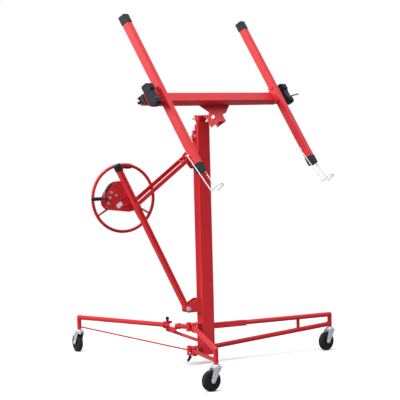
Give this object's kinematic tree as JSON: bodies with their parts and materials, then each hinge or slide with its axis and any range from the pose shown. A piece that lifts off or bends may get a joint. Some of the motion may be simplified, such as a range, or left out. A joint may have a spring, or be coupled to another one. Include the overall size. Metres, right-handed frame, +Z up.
{
  "type": "drywall lift",
  "caption": "Hand-cranked drywall lift with a telescoping mast, folding caster legs, side winch and a tilting panel cradle with sliding outriggers and edge hooks.",
  "frame": {"origin": "middle of the whole lift's footprint, on the floor", "axes": "+Z up; +X along the fixed leg, away from the winch; +Y toward the left folding leg"},
  "size_m": [1.4, 1.674, 1.7921],
  "materials": {
    "red_paint": "gloss powder coat",
    "black_plastic": "moulded, fine texture",
    "zinc": "bright zinc plate",
    "nylon": "natural nylon",
    "rubber": "matt tread",
    "cable": "galvanised wire rope",
    "gear_steel": "dark oiled steel"
  },
  "bodies": {
    "base": {"mast_outer": "red_paint", "outer_guide_pads": "nylon", "pulley_pin": "zinc", "hinge_bracket": "red_paint", "leg_hinge_pins": "red_paint", "leg_fixed": "red_paint", "leg_socket": "red_paint", "socket_bolts": "red_paint", "leg_lock": "red_paint", "winch_clevis": "red_paint", "winch_pivot_bolt": "zinc", "link_bracket": "red_paint"},
    "pulley": {"mast_pulley": "nylon"},
    "left_leg": {"leg_left": "red_paint"},
    "front_leg": {"leg_front": "red_paint"},
    "lock_plunger": {"lock_plunger": "black_plastic"},
    "latch_pin": {"leg_latch_pin": "black_plastic"},
    "middle_stage": {"mast_middle": "red_paint", "middle_guide_pads": "nylon"},
    "inner_stage": {"mast_inner": "red_paint", "head_block": "red_paint"},
    "swivel_latch": {"swivel_latch_pin": "zinc"},
    "swivel": {"swivel_head": "red_paint", "swivel_nut": "zinc", "tilt_bolt": "zinc"},
    "cradle": {"cradle_beam": "red_paint", "cradle_yoke": "red_paint", "cradle_arms": "red_paint", "arm_end_caps": "black_plastic", "arm_saddles": "red_paint", "saddle_bolts": "red_paint"},
    "left_outrigger": {"outrigger_left": "red_paint", "panel_rest_left": "black_plastic"},
    "right_outrigger": {"outrigger_right": "red_paint", "panel_rest_right": "black_plastic"},
    "left_lever": {"outrigger_lever_left": "black_plastic"},
    "right_lever": {"outrigger_lever_right": "black_plastic"},
    "left_hook": {"panel_hook_left": "zinc"},
    "right_hook": {"panel_hook_right": "zinc"},
    "winch": {"winch_strut": "red_paint", "strut_cap": "black_plastic", "winch_frame": "red_paint", "frame_bolts": "zinc"},
    "drum": {"cable_drum": "zinc", "wound_cable": "cable", "drum_gear": "gear_steel"},
    "crank_wheel": {"pinion_shaft": "gear_steel", "hand_wheel": "red_paint"},
    "crank_handle": {"crank_grip": "black_plastic"},
    "brake": {"brake_lever": "black_plastic"},
    "link": {"link_bars": "red_paint"},
    "left_caster": {"caster_fork_left": "zinc"},
    "left_wheel": {"caster_hub_left": "black_plastic", "caster_tyre_left": "rubber"},
    "front_caster": {"caster_fork_front": "zinc"},
    "front_wheel": {"caster_hub_front": "black_plastic", "caster_tyre_front": "rubber"},
    "right_caster": {"caster_fork_right": "zinc"},
    "right_wheel": {"caster_hub_right": "black_plastic", "caster_tyre_right": "rubber"}
  },
  "joints": [
    {"name": "middle_slide", "type": "slide", "parent": "base", "child": "middle_stage", "axis": [0, 0, 1], "range_m": [0, 1]},
    {"name": "inner_slide", "type": "slide", "parent": "middle_stage", "child": "inner_stage", "axis": [0, 0, 1], "range_m": [0, 1]},
    {"name": "head_swivel", "type": "hinge", "parent": "inner_stage", "child": "swivel", "pos_m": [-0.08799, -0.02466, 1.281], "axis": [0, 0, 1], "range_deg": [-26.9, 63.1]},
    {"name": "swivel_latch_slide", "type": "slide", "parent": "inner_stage", "child": "swivel_latch", "axis": [-1, 0, 0], "range_m": [0, 0.008], "stiffness_N_per_m": 600, "springref_m": -0.004},
    {"name": "cradle_tilt", "type": "hinge", "parent": "swivel", "child": "cradle", "pos_m": [-0.04021, -0.11883, 1.2754], "axis": [0.8918, 0.4524, 0], "range_deg": [-59.9, 0]},
    {"name": "outrigger_slide_left", "type": "slide", "parent": "cradle", "child": "left_outrigger", "axis": [-0.8918, -0.4524, 0], "range_m": [0, 0.2]},
    {"name": "lever_swing_left", "type": "hinge", "parent": "left_outrigger", "child": "left_lever", "pos_m": [-0.59192, -0.39289, 1.36693], "axis": [-0.2269, 0.4472, 0.8652], "range_deg": [0, 60]},
    {"name": "hook_swing_left", "type": "hinge", "parent": "cradle", "child": "left_hook", "pos_m": [-0.41628, -0.5258, 1.09218], "axis": [0.8918, 0.4524, 0], "range_deg": [-140, 0]},
    {"name": "outrigger_slide_right", "type": "slide", "parent": "cradle", "child": "right_outrigger", "axis": [0.8918, 0.4524, 0], "range_m": [0, 0.2]},
    {"name": "lever_swing_right", "type": "hinge", "parent": "right_outrigger", "child": "right_lever", "pos_m": [0.50678, 0.16451, 1.36693], "axis": [-0.2269, 0.4472, 0.8652], "range_deg": [0, 60]},
    {"name": "hook_swing_right", "type": "hinge", "parent": "cradle", "child": "right_hook", "pos_m": [0.5103, -0.05572, 1.09218], "axis": [0.8918, 0.4524, 0], "range_deg": [-140, 0]},
    {"name": "winch_fold", "type": "hinge", "parent": "base", "child": "winch", "pos_m": [-0.19899, -0.02466, 0.292], "axis": [0, 1, 0], "range_deg": [0, 18]},
    {"name": "link_fold", "type": "hinge", "parent": "base", "child": "link", "pos_m": [-0.16299, -0.02466, 1.078], "axis": [0, 1, 0], "range_deg": [0, 60]},
    {"name": "drum_spin", "type": "hinge", "parent": "winch", "child": "drum", "pos_m": [-0.56009, 0.05134, 0.89327], "axis": [0, 1, 0], "continuous": true},
    {"name": "wheel_spin", "type": "hinge", "parent": "winch", "child": "crank_wheel", "pos_m": [-0.48799, 0.09034, 0.8726], "axis": [0, 1, 0], "continuous": true},
    {"name": "handle_spin", "type": "hinge", "parent": "crank_wheel", "child": "crank_handle", "pos_m": [-0.43232, 0.09834, 1.03428], "axis": [0, 1, 0], "continuous": true},
    {"name": "brake_swing", "type": "hinge", "parent": "winch", "child": "brake", "pos_m": [-0.61799, 0.01534, 0.879], "axis": [0, 1, 0], "range_deg": [0, 25]},
    {"name": "pulley_spin", "type": "hinge", "parent": "base", "child": "pulley", "pos_m": [-0.13199, -0.02466, 1.181], "axis": [0, 1, 0], "continuous": true},
    {"name": "left_leg_fold", "type": "hinge", "parent": "base", "child": "left_leg", "pos_m": [-0.17299, 0.00334, 0.192], "axis": [0, 0, 1], "range_deg": [0, 57]},
    {"name": "front_leg_fold", "type": "hinge", "parent": "base", "child": "front_leg", "pos_m": [-0.17299, -0.05266, 0.192], "axis": [0, 0, 1], "range_deg": [-57, 0]},
    {"name": "lock_plunger_slide", "type": "slide", "parent": "base", "child": "lock_plunger", "axis": [0, 0, 1], "range_m": [0, 0.012], "stiffness_N_per_m": 300, "springref_m": -0.004},
    {"name": "latch_pin_slide", "type": "slide", "parent": "base", "child": "latch_pin", "axis": [0, 0, -1], "range_m": [0, 0.012], "stiffness_N_per_m": 600, "springref_m": -0.006},
    {"name": "caster_swivel_left", "type": "hinge", "parent": "left_leg", "child": "left_caster", "pos_m": [-0.46081, 0.75698, 0.12], "axis": [0, 0, 1], "continuous": true},
    {"name": "caster_roll_left", "type": "hinge", "parent": "left_caster", "child": "left_wheel", "pos_m": [-0.46081, 0.78698, 0.05], "axis": [-1, 0, 0], "continuous": true},
    {"name": "caster_swivel_front", "type": "hinge", "parent": "front_leg", "child": "front_caster", "pos_m": [-0.46081, -0.8063, 0.12], "axis": [0, 0, 1], "continuous": true},
    {"name": "caster_roll_front", "type": "hinge", "parent": "front_caster", "child": "front_wheel", "pos_m": [-0.49056, -0.81022, 0.05], "axis": [0.1305, -0.9914, 0], "continuous": true},
    {"name": "caster_swivel_right", "type": "hinge", "parent": "base", "child": "right_caster", "pos_m": [0.67401, -0.02466, 0.12], "axis": [0, 0, 1], "continuous": true},
    {"name": "caster_roll_right", "type": "hinge", "parent": "right_caster", "child": "right_wheel", "pos_m": [0.6448, -0.03151, 0.05], "axis": [0.2284, -0.9736, 0], "continuous": true}
  ],
  "couplings": [
    {"joint": "inner_slide", "follows": "middle_slide", "ratio": 1},
    {"joint": "wheel_spin", "follows": "drum_spin", "ratio": -4}
  ]
}
